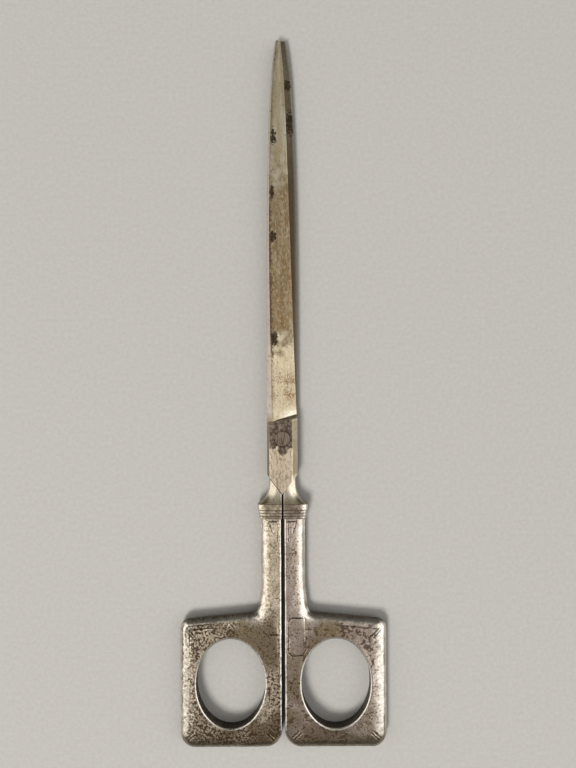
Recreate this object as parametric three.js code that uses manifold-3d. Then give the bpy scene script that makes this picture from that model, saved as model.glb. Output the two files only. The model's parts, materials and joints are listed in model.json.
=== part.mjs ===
// Desk scissors with hollow silver handles: two steel halves that turn on one rivet.
// Millimetres, +Z up, blades along +Y. The scissors lie flat, the backs of the bows at z = 0.
// Each half is drawn about the pivot, with the plane between the two blades at z = 0.
// The second half is the first one turned half a turn about the length of the scissors.
import * as THREE from "three";
import { mergeVertices } from "three/addons/utils/BufferGeometryUtils.js";
import Module from "manifold-3d";

const wasm = await Module();
wasm.setup();

// Blade
const RICASSO = 5.2; // pivot to the plunge, where the ground face of the blade starts
const BLADE_LENGTH = 124.8; // plunge to tip
const BLADE_EDGE = 4.7; // cutting edge to the centre line, at the plunge
const EDGE_STRAIGHT = 0.82; // share of the edge's run to the centre line that is straight
const EDGE_POWER = 12; // how late the rest of it curves in
const EDGE_LAND = 0.35; // height of the cutting edge
const SPINE_TAPER = 2.7; // how far the spine runs in by the tip
const SPINE_TAPER_POWER = 4;
const RIDGE_BASE = 1.75; // spine to ridge, at the plunge
const RIDGE_TIP = 0.5; // spine to ridge, at the tip
const TIP_THICKNESS = 0.9;
const NOSE_LENGTH = 5; // rounded end of the spine
const NOSE_DROP = 0.9;
const HOLLOW = 0.12; // hollow grind of the inner face
const HOLLOW_RUN = 30; // length over which the hollow comes in at each end
const PLUNGE_SLANT = 0.155; // rise of the plunge line per millimetre across
const PLUNGE_RAMP = 0.13; // length of the ramp above that line, per millimetre across
const PLUNGE_RISE = 0.1; // length of the ramp at the spine
const BLADE_STATIONS = 16;
const NOSE_STATIONS = 5;

// Lap, where the two halves cross
const JOINT_WIDTH = 9.9;
const JOINT_THICKNESS = 2.4;
const SPINE_CHAMFER = 0.85; // width of the chamfer on the spine side
const EDGE_CHAMFER = 1.85; // width of the chamfer on the other side
const CHAMFER_DROP = 0.8;
const BLADE_GAP = 0.1; // between the inner faces
const SHOULDER_DROP = 11.6; // pivot to the top of the V shoulders
const SHOULDER_DEPTH = 6.3; // depth of the V
const SHOULDER_GAP = 0.3;

// Rivet
const RIVET_DIAMETER = 3.2;
const RIVET_HEAD = 4.8;
const RIVET_HEAD_DEPTH = 0.8;
const RIVET_DOME = 0.1;
const RUNNING_FIT = 0.06;
const ROUND_SIDES = 32;

// Bolster and tang
const BOLSTER_LENGTH = 9.5;
const BOLSTER_STEP = 0.12; // ferrule band past the foot of the bolster
const NECK_ROUND = { x: 3.6, z: 1.7 }; // outer side of the bolster's neck, rounded to an oval
const FOOT_ROUND = { x: 2.4, z: 1.7 };
const FLARE_POWER = 4;
const NECK_INSET = 0.6; // lap past the neck, on each side
const NECK_DROP = 0.45; // neck below the face of the lap
const FLARE_STATIONS = 10;
const TANG_LENGTH = 24;
const TANG_WIDTH = 3;
const TANG_THICKNESS = 2.6;
const TANG_TIP_WIDTH = 1.8;
const TANG_TIP_THICKNESS = 1.4;
const TANG_ROOT = 1.2; // tang inside the bolster

// Ferrule
const BAND_LENGTH = 2.1;
const BAND_PROUD = 1; // band past the outer side of the shank
const BAND_CHAMFER = 0.25;
const COLLAR_SLIT = 0.4; // between the two ferrules and the two bolsters
const RING_COUNT = 3;
const RINGS_LENGTH = 2.8;
const RING_PROUD = 0.8; // first ring past the outer side of the shank
const LAST_PROUD = 0.35;
const RING_DEPTH = 0.15;
const RING_STEPS = 4;
const FERRULE_ROUND = { x: 2.4, z: 1.8 };

// Handle
const SLIT = 1; // between the two handles
const SHANK_LENGTH = 30.4; // ferrule to the top edge of the bow
const SHANK_WIDTH = 6.7;
const SHANK_THICKNESS = 5; // at the ferrule
const HANDLE_THICKNESS = 5.6; // at the bow and the ferrule band
const FINGER_WIDTH = 22.5;
const FINGER_LENGTH = 29.1;
const INNER_RIM = 5.35; // finger hole to the slit
const OUTER_RIM = 5.3;
const TOP_RIM = 7.4;
const BOTTOM_RIM = 6.7;
const BOW_SLOPE = THREE.MathUtils.degToRad(5.5); // fall of the bow's top edge
const TOP_CORNER = 3.4;
const LOW_CORNER = 4;
const INNER_CORNER = 5;
const SHANK_FILLET = 2.4;
const SHANK_FLARE = 1; // how much the shank widens down to the bow
const FLARE_RUN = 8.5;
const FLARE_BEND = 30;
const EDGE_WIDTH = 3; // rounded outer edge, in plan
const SHANK_EDGE_DEPTH = 2.2;
const BOW_EDGE_DEPTH = 1.7;
const ARRIS = 0.4; // rounded edge beside the slit
const SHELL_WALL = 0.6;
const BAND_WALL = 0.7;
const RIM_CHAMFER = 0.3;
const FIT = 0.05; // between pieces that are soldered or cemented together
const ARC_STEPS = 6;
const ROUND_STEPS = 4;
const OVAL_SIDES = 56;
const CUT_MARGIN = 2; // how far a cutter runs past what it cuts
const WELD = 1e-5; // points closer than this are one point

// Places that follow from the sizes above
const TIP_Y = RICASSO + BLADE_LENGTH;
const FERRULE_TOP = -(SHOULDER_DROP + BOLSTER_LENGTH);
const FERRULE_LENGTH = BAND_LENGTH + RINGS_LENGTH;
const SHELL_TOP = FERRULE_TOP - FERRULE_LENGTH;
const INNER_X = SLIT / 2;
const SHANK_X = INNER_X + SHANK_WIDTH;
const SHANK_MID_X = INNER_X + SHANK_WIDTH / 2;
const OVAL_X = INNER_X + INNER_RIM + FINGER_WIDTH / 2;
const OUTER_X = OVAL_X + FINGER_WIDTH / 2 + OUTER_RIM;
const BOW_TOP = SHELL_TOP - SHANK_LENGTH;
const OVAL_Y = topEdge(OVAL_X) - TOP_RIM - FINGER_LENGTH / 2;
const BOW_LOW = OVAL_Y - FINGER_LENGTH / 2 - BOTTOM_RIM;
const TAPER_END = BOW_TOP + FLARE_RUN + CUT_MARGIN;
const JOINT_HALF = JOINT_WIDTH / 2;
const INNER_FACE = BLADE_GAP / 2;
const JOINT_FACE = INNER_FACE + JOINT_THICKNESS;
const ROUND_WIDTH = Math.min(EDGE_WIDTH, Math.min(TOP_CORNER, LOW_CORNER, INNER_CORNER) - FIT);
const SHANK_EDGE = { width: ROUND_WIDTH, depth: Math.min(SHANK_EDGE_DEPTH, SHANK_THICKNESS / 2 - FIT) };
const BOW_EDGE = { width: ROUND_WIDTH, depth: Math.min(BOW_EDGE_DEPTH, HANDLE_THICKNESS / 2 - FIT) };
const SLIT_EDGE = { width: ARRIS, depth: ARRIS };

const STEEL = new THREE.MeshStandardMaterial({ color: 0xa39a82, roughness: 0.38, metalness: 1 });
const RIVET_STEEL = new THREE.MeshStandardMaterial({ color: 0x5c5148, roughness: 0.55, metalness: 1 });
const SILVER = new THREE.MeshStandardMaterial({ color: 0xb5aa9d, roughness: 0.3, metalness: 1 });
const CEMENT = new THREE.MeshStandardMaterial({ color: 0x3b2f27, roughness: 0.9, metalness: 0 });

// Height of the bow's sloping top edge, as drawn without its corners, at a distance from the centre line
function topEdge(x) {
  return BOW_TOP - (x - SHANK_X) * Math.tan(BOW_SLOPE);
}

function lerp(a, b, t) {
  return THREE.MathUtils.lerp(a, b, t);
}

// A closed mesh as a solid that can be joined and cut
function solidOf(geometry) {
  const bare = geometry.clone();
  bare.deleteAttribute("normal");
  bare.deleteAttribute("uv");
  const merged = mergeVertices(bare, WELD);
  const vertProperties = new Float32Array(merged.attributes.position.array);
  const triVerts = new Uint32Array(merged.index.array);
  return new wasm.Manifold(new wasm.Mesh({ numProp: 3, vertProperties, triVerts }));
}

function geometryOf(solid) {
  const mesh = solid.getMesh();
  const geometry = new THREE.BufferGeometry();
  geometry.setAttribute("position", new THREE.BufferAttribute(mesh.vertProperties, 3));
  geometry.setIndex(new THREE.BufferAttribute(mesh.triVerts, 1));
  geometry.computeVertexNormals();
  return geometry;
}

// A skin through rings of points that run counter-clockwise about the way from the first to the last
function loft(rings, cap) {
  const count = rings[0].length;
  const last = (rings.length - 1) * count;
  const index = [];
  for (let ring = 0; ring < last; ring += count) {
    for (let i = 0; i < count; i++) {
      const next = (i + 1) % count;
      index.push(ring + i, ring + next, ring + count + next);
      index.push(ring + i, ring + count + next, ring + count + i);
    }
  }
  for (const [a, b, c] of cap) {
    index.push(c, b, a);
    index.push(last + a, last + b, last + c);
  }
  const geometry = new THREE.BufferGeometry().setFromPoints(rings.flat());
  geometry.setIndex(index);
  return geometry;
}

// A loft along Y through sections of points (z, x), each with its own y
function loftAlongY(sections) {
  const cap = THREE.ShapeUtils.triangulateShape(sections[0].outline, []);
  const rings = sections.map(({ outline, y }) =>
    outline.map((p, i) => new THREE.Vector3(p.y, typeof y === "number" ? y : y[i], p.x)));
  return loft(rings, cap);
}

// An upright prism between two heights, over a plan outline
function prism(shape, low, high, curveSegments) {
  const geometry = new THREE.ExtrudeGeometry(shape, { depth: high - low, bevelEnabled: false, curveSegments });
  return geometry.translate(0, 0, low);
}

// Section of a collar-like piece as points (z, x), flat on the slit side and rounded on the outer side
function collarSection(outerX, halfThickness, round) {
  const path = new THREE.Path();
  const quarter = Math.PI / 2;
  const insideX = COLLAR_SLIT / 2 + ARRIS;
  const insideZ = halfThickness - ARRIS;
  const outsideX = outerX - round.x;
  const outsideZ = halfThickness - round.z;
  path.absarc(-insideZ, insideX, ARRIS, 2 * quarter, 3 * quarter);
  path.absarc(insideZ, insideX, ARRIS, 3 * quarter, 4 * quarter);
  path.absellipse(outsideZ, outsideX, round.z, round.x, 0, quarter);
  path.absellipse(-outsideZ, outsideX, round.z, round.x, quarter, 2 * quarter);
  return path.getPoints(ROUND_STEPS);
}

// Section of the lap or the blade as points (z, x), from the inner edge of the spine round to the inner face
function bladeSection({ spine, spineTop, ridge, ridgeZ, shoulder, shoulderZ, edge, edgeZ, hollow }) {
  const outline = [
    [INNER_FACE, spine],
    [spineTop, spine],
    [ridgeZ, ridge],
    [shoulderZ, shoulder],
    [edgeZ, edge],
    [INNER_FACE, edge],
  ];
  for (const share of [0.75, 0.5, 0.25]) {
    const depth = 4 * share * (1 - share) * hollow;
    outline.push([INNER_FACE + depth, lerp(spine, edge, share)]);
  }
  return outline.map(([z, x]) => new THREE.Vector2(z, x));
}

const LAP_SECTION = bladeSection({
  spine: -JOINT_HALF,
  spineTop: JOINT_FACE - CHAMFER_DROP,
  ridge: -JOINT_HALF + SPINE_CHAMFER,
  ridgeZ: JOINT_FACE,
  shoulder: JOINT_HALF - EDGE_CHAMFER,
  shoulderZ: JOINT_FACE,
  edge: JOINT_HALF,
  edgeZ: JOINT_FACE - CHAMFER_DROP,
  hollow: 0,
});

// Section of the blade at a share of its length
function bladeSectionAt(share) {
  const y = RICASSO + share * BLADE_LENGTH;
  const nose = Math.max(0, (y - (TIP_Y - NOSE_LENGTH)) / NOSE_LENGTH);
  const noseDrop = NOSE_DROP * (1 - Math.sqrt(1 - nose * nose));
  const spine = -JOINT_HALF + SPINE_TAPER * share ** SPINE_TAPER_POWER + noseDrop;
  const runIn = lerp(share ** EDGE_POWER, share, EDGE_STRAIGHT);
  const edge = BLADE_EDGE * (1 - runIn);
  const ridge = spine + lerp(RIDGE_TIP, RIDGE_BASE, (1 - share) ** 2);
  const thickness = lerp(JOINT_THICKNESS, TIP_THICKNESS, share);
  const ridgeZ = INNER_FACE + thickness;
  const edgeZ = INNER_FACE + EDGE_LAND;
  return bladeSection({
    spine,
    spineTop: ridgeZ - CHAMFER_DROP * (thickness / JOINT_THICKNESS),
    ridge,
    ridgeZ,
    shoulder: lerp(ridge, edge, 0.5),
    shoulderZ: lerp(ridgeZ, edgeZ, 0.5),
    edge,
    edgeZ,
    hollow: HOLLOW * Math.min(1, (y - RICASSO) / HOLLOW_RUN, (TIP_Y - y) / HOLLOW_RUN),
  });
}

// Plan of the lap: all that lies above the V, which a gap moves down
function lapPlan(gap) {
  const slope = SHOULDER_DEPTH / JOINT_HALF;
  const apex = -(SHOULDER_DROP + SHOULDER_DEPTH) - gap * Math.hypot(1, slope);
  const side = JOINT_WIDTH;
  const plan = new THREE.Shape();
  plan.moveTo(0, apex);
  plan.lineTo(side, apex + side * slope);
  plan.lineTo(side, TIP_Y + CUT_MARGIN);
  plan.lineTo(-side, TIP_Y + CUT_MARGIN);
  plan.lineTo(-side, apex + side * slope);
  plan.closePath();
  return plan;
}

// The bar of the lap and the blade ground from it
function bladeBar() {
  const start = bladeSectionAt(0);
  const across = (x) => x + JOINT_HALF;
  const plungeFoot = LAP_SECTION.map((p) => RICASSO + PLUNGE_SLANT * across(p.y));
  const plungeHead = start.map((p) => RICASSO + PLUNGE_RISE + (PLUNGE_SLANT + PLUNGE_RAMP) * across(p.y));
  const sections = [
    { outline: LAP_SECTION, y: -(SHOULDER_DROP + SHOULDER_DEPTH + CUT_MARGIN) },
    { outline: LAP_SECTION, y: plungeFoot },
    { outline: start, y: plungeHead },
  ];
  const noseShare = NOSE_LENGTH / BLADE_LENGTH;
  const shares = [];
  for (let i = 1; i <= BLADE_STATIONS; i++) {
    shares.push((i / BLADE_STATIONS) * (1 - noseShare));
  }
  for (let i = 1; i <= NOSE_STATIONS; i++) {
    shares.push(1 - noseShare * Math.cos((i / NOSE_STATIONS) * Math.PI / 2));
  }
  for (const share of shares) {
    sections.push({ outline: bladeSectionAt(share), y: RICASSO + share * BLADE_LENGTH });
  }
  return solidOf(loftAlongY(sections));
}

// The flared bolster, which spans both laps below the V
function bolster() {
  const foot = {
    x: SHANK_X + BAND_PROUD - BOLSTER_STEP,
    z: HANDLE_THICKNESS / 2 - BOLSTER_STEP,
  };
  const neck = { x: JOINT_HALF - NECK_INSET, z: JOINT_FACE - NECK_DROP };
  const sections = [];
  for (let i = 0; i <= FLARE_STATIONS; i++) {
    const down = 1 - i / FLARE_STATIONS;
    const flare = down ** FLARE_POWER;
    const round = { x: lerp(NECK_ROUND.x, FOOT_ROUND.x, flare), z: lerp(NECK_ROUND.z, FOOT_ROUND.z, flare) };
    sections.push({
      outline: collarSection(lerp(neck.x, foot.x, flare), lerp(neck.z, foot.z, flare), round),
      y: -SHOULDER_DROP - down * BOLSTER_LENGTH,
    });
  }
  const cut = prism(lapPlan(SHOULDER_GAP), -HANDLE_THICKNESS, INNER_FACE);
  return solidOf(loftAlongY(sections)).subtract(solidOf(cut));
}

// The tang, or with a clearance the hole that it sits in
function tang(clearance) {
  const section = (width, thickness) => {
    const x = width / 2 + clearance;
    const z = thickness / 2 + clearance;
    return [[-z, -x], [z, -x], [z, x], [-z, x]].map(([pz, px]) => new THREE.Vector2(pz, SHANK_MID_X + px));
  };
  return solidOf(loftAlongY([
    { outline: section(TANG_TIP_WIDTH, TANG_TIP_THICKNESS), y: FERRULE_TOP - TANG_LENGTH - clearance },
    { outline: section(TANG_WIDTH, TANG_THICKNESS), y: FERRULE_TOP - FERRULE_LENGTH },
    { outline: section(TANG_WIDTH, TANG_THICKNESS), y: FERRULE_TOP + TANG_ROOT },
  ]));
}

// The rivet, spread into a countersink at each face, or with a clearance the hole that it sits in
function rivet(clearance) {
  const shank = RIVET_DIAMETER / 2 + clearance;
  const head = RIVET_HEAD / 2 + clearance;
  const seat = JOINT_FACE - RIVET_HEAD_DEPTH - clearance;
  const end = JOINT_FACE + RIVET_DOME + clearance;
  const profile = [
    [0, -end],
    [head, -JOINT_FACE],
    [shank, -seat],
    [shank, seat],
    [head, JOINT_FACE],
    [0, end],
  ];
  const points = profile.map(([x, y]) => new THREE.Vector2(x, y));
  return new THREE.LatheGeometry(points, ROUND_SIDES).rotateX(Math.PI / 2);
}

function blade() {
  const lap = solidOf(prism(lapPlan(0), 0, HANDLE_THICKNESS));
  const forging = bladeBar().intersect(lap).add(bolster()).add(tang(0));
  return geometryOf(forging.subtract(solidOf(rivet(RUNNING_FIT))));
}

function ferrule() {
  const swell = (HANDLE_THICKNESS - SHANK_THICKNESS) / 2 / BAND_PROUD;
  const bandEdge = BAND_PROUD - BAND_CHAMFER;
  const stations = [
    [FIT, bandEdge],
    [BAND_CHAMFER + FIT, BAND_PROUD],
    [BAND_LENGTH - BAND_CHAMFER, BAND_PROUD],
    [BAND_LENGTH, RING_PROUD - RING_DEPTH],
  ];
  const steps = RING_COUNT * RING_STEPS;
  for (let i = 1; i <= steps; i++) {
    const groove = 1 - Math.abs(Math.sin((i / RING_STEPS) * Math.PI));
    const proud = lerp(RING_PROUD, LAST_PROUD, i / steps) - RING_DEPTH * groove;
    stations.push([BAND_LENGTH + (i / steps) * RINGS_LENGTH, proud]);
  }
  const sections = stations.reverse().map(([down, proud]) => ({
    outline: collarSection(SHANK_X + proud, SHANK_THICKNESS / 2 + proud * swell, FERRULE_ROUND),
    y: FERRULE_TOP - down,
  }));
  return geometryOf(solidOf(loftAlongY(sections)).subtract(tang(FIT)));
}

// Plan of the handle, open at the ferrule: down the slit, round the bow and back up the shank
function handleOutline(top) {
  const flareX = SHANK_X + SHANK_FLARE;
  const corners = [
    { x: INNER_X, y: top, before: SLIT_EDGE, after: SLIT_EDGE },
    { x: INNER_X, y: TAPER_END, before: SLIT_EDGE, after: SLIT_EDGE },
    { x: INNER_X, y: BOW_LOW, radius: INNER_CORNER, before: SLIT_EDGE, after: BOW_EDGE },
    { x: OUTER_X, y: BOW_LOW, radius: LOW_CORNER, before: BOW_EDGE, after: BOW_EDGE },
    { x: OUTER_X, y: topEdge(OUTER_X), radius: TOP_CORNER, before: BOW_EDGE, after: BOW_EDGE },
    { x: flareX, y: topEdge(flareX), radius: SHANK_FILLET, before: BOW_EDGE, after: SHANK_EDGE },
    { x: SHANK_X, y: BOW_TOP + FLARE_RUN, radius: FLARE_BEND, before: SHANK_EDGE, after: SHANK_EDGE },
    { x: SHANK_X, y: TAPER_END, before: SHANK_EDGE, after: SHANK_EDGE },
    { x: SHANK_X, y: top, before: SHANK_EDGE, after: SHANK_EDGE },
  ];
  const places = corners.map(({ x, y }) => new THREE.Vector2(x, y));
  const outline = [];
  corners.forEach(({ radius, before, after }, i) => {
    if (!radius) {
      outline.push({ point: places[i], ...before });
      return;
    }
    const arc = cornerArc(places[i - 1], places[i], places[i + 1], radius);
    arc.forEach((point, k) => {
      const share = k / ARC_STEPS;
      const width = lerp(before.width, after.width, share);
      const depth = lerp(before.depth, after.depth, share);
      outline.push({ point, width, depth });
    });
  });
  return outline;
}

// Points of the arc that rounds the corner between two straight edges
function cornerArc(from, corner, to, radius) {
  const back = from.clone().sub(corner).normalize();
  const on = to.clone().sub(corner).normalize();
  const half = Math.acos(back.dot(on)) / 2;
  const start = corner.clone().addScaledVector(back, radius / Math.tan(half));
  const end = corner.clone().addScaledVector(on, radius / Math.tan(half));
  const centre = corner.clone().addScaledVector(back.add(on).normalize(), radius / Math.sin(half));
  const startAngle = start.clone().sub(centre).angle();
  let sweep = end.clone().sub(centre).angle() - startAngle;
  sweep -= 2 * Math.PI * Math.round(sweep / (2 * Math.PI));
  const points = [];
  for (let k = 0; k <= ARC_STEPS; k++) {
    const angle = startAngle + (sweep * k) / ARC_STEPS;
    points.push(new THREE.Vector2(Math.cos(angle), Math.sin(angle)).multiplyScalar(radius).add(centre));
  }
  return points;
}

// Direction into the handle, square to its outline, at each point
function inwardNormals(outline) {
  return outline.map(({ point }, i) => {
    const before = outline[Math.max(i - 1, 0)].point;
    const after = outline[Math.min(i + 1, outline.length - 1)].point;
    const arriving = point.clone().sub(before).normalize();
    const leaving = after.clone().sub(point).normalize();
    const along = arriving.add(leaving).normalize();
    return new THREE.Vector2(-along.y, along.x);
  });
}

// Half the handle's thickness, which the shank loses towards the ferrule
function halfThickness(y) {
  const share = Math.max(0, (y - TAPER_END) / (SHELL_TOP - TAPER_END));
  return lerp(HANDLE_THICKNESS, SHANK_THICKNESS, share) / 2;
}

// The whole handle as a solid, drawn in all round by an inset, from the bow up to the given height
function handleSolid(inset, top) {
  const outline = handleOutline(top);
  const normals = inwardNormals(outline);
  const ringAt = (side, angle) => outline.map(({ point, width, depth }, i) => {
    const inward = inset + Math.max(width - inset, FIT) * (1 - Math.cos(angle));
    const down = inset + Math.max(depth - inset, FIT) * (1 - Math.sin(angle));
    const place = point.clone().addScaledVector(normals[i], inward);
    const height = halfThickness(point.y) - down;
    return new THREE.Vector3(place.x, place.y, side * height);
  });
  const angles = [];
  for (let k = 0; k <= ROUND_STEPS; k++) {
    angles.push((k / ROUND_STEPS) * (Math.PI / 2));
  }
  const lower = angles.map((angle) => ringAt(-1, angle)).reverse();
  const upper = angles.map((angle) => ringAt(1, angle));
  const face = upper[ROUND_STEPS].map((p) => new THREE.Vector2(p.x, p.y));
  const bowCap = THREE.ShapeUtils.triangulateShape(face.slice(1, -1), []);
  const last = face.length - 1;
  const cap = bowCap.map((triangle) => triangle.map((i) => i + 1));
  cap.push([0, 1, last - 1], [0, last - 1, last]);
  return solidOf(loft([...lower, ...upper], cap));
}

// An upright cutter over the finger hole, wider all round by an offset
function ovalCutter(offset) {
  const shape = new THREE.Shape();
  shape.absellipse(OVAL_X, OVAL_Y, FINGER_WIDTH / 2 + offset, FINGER_LENGTH / 2 + offset, 0, 2 * Math.PI);
  return solidOf(prism(shape, -HANDLE_THICKNESS, HANDLE_THICKNESS, OVAL_SIDES / 2));
}

// One half of the hollow handle, in front of the seam or behind it
function shell(side) {
  const hollow = handleSolid(SHELL_WALL, SHELL_TOP + CUT_MARGIN);
  const whole = handleSolid(0, SHELL_TOP).subtract(hollow).subtract(ovalCutter(BAND_WALL + FIT));
  const reach = OUTER_X + CUT_MARGIN;
  const plan = new THREE.Shape();
  plan.moveTo(0, BOW_LOW - CUT_MARGIN);
  plan.lineTo(reach, BOW_LOW - CUT_MARGIN);
  plan.lineTo(reach, 0);
  plan.lineTo(0, 0);
  plan.closePath();
  const seam = FIT / 2;
  const half = side > 0 ? prism(plan, seam, HANDLE_THICKNESS) : prism(plan, -HANDLE_THICKNESS, -seam);
  return geometryOf(whole.intersect(solidOf(half)));
}

// The oval band that lines the finger hole, flush with both shells
function fingerBand() {
  const top = HANDLE_THICKNESS / 2;
  const profile = [
    [BAND_WALL, -top],
    [BAND_WALL, top],
    [RIM_CHAMFER, top],
    [0, top - RIM_CHAMFER],
    [0, RIM_CHAMFER - top],
    [RIM_CHAMFER, -top],
  ];
  const rings = [...profile, profile[0]].map(([offset, z]) => {
    const oval = new THREE.EllipseCurve(OVAL_X, OVAL_Y, FINGER_WIDTH / 2 + offset, FINGER_LENGTH / 2 + offset);
    return oval.getPoints(OVAL_SIDES).slice(1).map((p) => new THREE.Vector3(p.x, p.y, z));
  });
  return geometryOf(solidOf(loft(rings, [])));
}

// The cement core between the shells, the band and the tang
function filler() {
  const core = handleSolid(SHELL_WALL + FIT, SHELL_TOP);
  return geometryOf(core.subtract(ovalCutter(BAND_WALL + FIT)).subtract(tang(FIT)));
}

function piece(name, geometry, material) {
  const mesh = new THREE.Mesh(geometry, material);
  mesh.name = name;
  return mesh;
}

const BLADE = blade();
const FERRULE = ferrule();
const UPPER_SHELL = shell(1);
const LOWER_SHELL = shell(-1);
const FINGER_BAND = fingerBand();
const FILLER = filler();

function half(bladeName, hand, upperFace, lowerFace) {
  const group = new THREE.Group();
  group.add(piece(bladeName, BLADE, STEEL));
  group.add(piece(`${hand}_ferrule`, FERRULE, SILVER));
  group.add(piece(`${hand}_${upperFace}_shell`, UPPER_SHELL, SILVER));
  group.add(piece(`${hand}_${lowerFace}_shell`, LOWER_SHELL, SILVER));
  group.add(piece(`${hand}_finger_band`, FINGER_BAND, SILVER));
  group.add(piece(`${hand}_filler`, FILLER, CEMENT));
  return group;
}

const frontHalf = half("front_blade", "right", "front", "back");
frontHalf.add(piece("pivot_rivet", geometryOf(solidOf(rivet(0))), RIVET_STEEL));
const backHalf = half("back_blade", "left", "back", "front");
backHalf.rotation.y = Math.PI;

const scissors = new THREE.Group();
scissors.add(frontHalf, backHalf);
scissors.position.set(0, -(TIP_Y + BOW_LOW) / 2, HANDLE_THICKNESS / 2);

export default scissors;
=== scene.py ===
"""Looks of the desk scissors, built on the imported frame.

Each piece is drawn for one half, in millimetres from the pivot, with the plane between the blades at z = 0.
The back half is the same drawing turned half a turn about the length of the scissors.
"""
import json
import math
from functools import partialmethod

import bmesh
import bpy
from mathutils import Matrix, Vector, geometry, kdtree, noise


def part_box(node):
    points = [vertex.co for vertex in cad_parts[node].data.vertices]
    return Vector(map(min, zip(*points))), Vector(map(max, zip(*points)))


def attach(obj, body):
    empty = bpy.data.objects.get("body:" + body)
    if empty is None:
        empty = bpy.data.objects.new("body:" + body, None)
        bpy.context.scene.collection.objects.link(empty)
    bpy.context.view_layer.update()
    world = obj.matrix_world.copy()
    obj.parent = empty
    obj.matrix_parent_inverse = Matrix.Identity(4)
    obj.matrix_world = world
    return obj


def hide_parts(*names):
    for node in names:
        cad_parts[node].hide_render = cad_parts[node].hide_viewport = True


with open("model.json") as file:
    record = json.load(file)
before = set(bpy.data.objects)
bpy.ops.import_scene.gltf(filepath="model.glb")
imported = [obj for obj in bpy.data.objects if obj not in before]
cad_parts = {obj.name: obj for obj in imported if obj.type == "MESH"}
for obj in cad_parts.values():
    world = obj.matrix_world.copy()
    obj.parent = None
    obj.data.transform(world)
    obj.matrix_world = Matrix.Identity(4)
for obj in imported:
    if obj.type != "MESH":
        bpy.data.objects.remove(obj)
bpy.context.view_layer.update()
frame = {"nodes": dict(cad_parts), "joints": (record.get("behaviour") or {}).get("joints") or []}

MM = 0.001
PIVOT = Vector(frame["joints"][0]["pos_m"])
TO_SCENE = Matrix.Translation(PIVOT) @ Matrix.Scale(MM, 4)
FRONT = TO_SCENE
BACK = TO_SCENE @ Matrix.Rotation(math.pi, 4, "Y")


def span(node):
    """Lowest and highest corner of a CAD node, in millimetres from the pivot."""
    low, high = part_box(node)
    return (low - PIVOT) / MM, (high - PIVOT) / MM


# Places taken from the frame
shell_low, shell_high = span("right_front_shell")
band_low, band_high = span("right_finger_band")
_, ferrule_high = span("right_ferrule")
blade_low, blade_high = span("front_blade")
_, rivet_high = span("pivot_rivet")
INNER_X = shell_low.x
OUTER_X = shell_high.x
BOW_LOW = shell_low.y
SHELL_TOP = shell_high.y
BOW_HALF = shell_high.z
SEAM = shell_low.z
OVAL = ((band_low + band_high) / 2).xy
OVAL_OUTER = ((band_high - band_low) / 2).xy
FERRULE_TOP = ferrule_high.y
FERRULE_OUTER = ferrule_high.x
TIP_Y = blade_high.y
TANG_END = blade_low.y
LAP_HALF = -blade_low.x
RIVET_RADIUS = rivet_high.x

# Handle
SHANK_WIDTH = 6.7
SHANK_HALF = 2.5  # half the thickness at the ferrule
TAPER_FOOT = 10.5  # top of the bow to where the shank starts to thin
TOP_RIM = 7.4  # finger hole to the bow's top edge
BOW_SLOPE = math.radians(5.5)  # fall of the bow's top edge
TOP_CORNER = 3.4
LOW_CORNER = 4.7
INNER_CORNER = 5.7
SHANK_FILLET = 2.4
SHANK_FLARE = 1  # how much the shank widens down to the bow
FLARE_RUN = 8.5
FLARE_BEND = 30
EDGE_WIDTH = 3  # rounded outer edge, in plan
SHANK_EDGE_DEPTH = 2.2
BOW_EDGE_DEPTH = 1.7
CROWN = 0.7  # fall of the faces towards the outer edge
CROWN_WIDTH = 7
WORN_AND_HIGHLIGHT_WIDTH = 5.5  # rubbed zone along the outer sides, partly a painted highlight
SLIT_EDGE_WIDTH = 0.7  # rounded edge beside the slit
SLIT_EDGE_DEPTH = 0.45
ARRIS = 0.4  # the same on the ferrules and bolsters
BAND_WALL = 0.7
BAND_DENT = 0.06
RIM_ROUND = 0.35
RIM_STEPS = 6
SKIN = 0.35  # wall of the hollow silver
FIT = 0.03
MESH_STEP = 0.4
ROUND_STEPS = 14
WALL_STEPS = 3
OVAL_STEPS = 168

# Planishing marks and chased lines
FACET = 2.7  # across one hammer mark
FACET_DEPTH = 0.085
FACET_DRAW = 0.5  # the marks are longer along the handle than across it, by the inverse of this
PEEN = 1.15  # across the small marks between them
MARK_FALL = 1.6  # how fast a mark gets shallower away from its middle
RIGHT_PEEN = 0.025  # depth of the small marks on each handle
LEFT_PEEN = 0.05
LINE_HALF = 0.2
LINE_DEPTH = 0.14
LINE_STEP = 0.2
CORNER_START = Vector((-2.2, 2.8))  # outer corner of the bow to the strokes across it
STROKE_LENGTH = 3.4
STROKE_GAP = 0.9

# Ferrule
COLLAR_SLIT = 0.4  # between the two ferrules and the two bolsters
BAND_LENGTH = 2.05
BAND_PROUD = 1
BAND_EASE = 0.3
EASE_STEPS = 4
BAND_STEP = 0.02  # length of the step from the band down to its groove
RING_COUNT = 3
RINGS_LENGTH = 2.8
RING_PROUD = 0.8
LAST_PROUD = 0.35
RING_DEPTH = 0.16
RING_STEPS = 10
GROOVE_SHARE = 0.4  # of a ring, taken by the grooves at its ends
FERRULE_ROUND = Vector((2.4, 1.8))
TANG_ROOT = Vector((1.5, 1.3))  # half the width and thickness, at the ferrule and at the end
TANG_TIP = Vector((0.9, 0.7))
TANG_GRIP = 1.2  # tang inside the bolster
COLLAR_STEPS = 9

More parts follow.
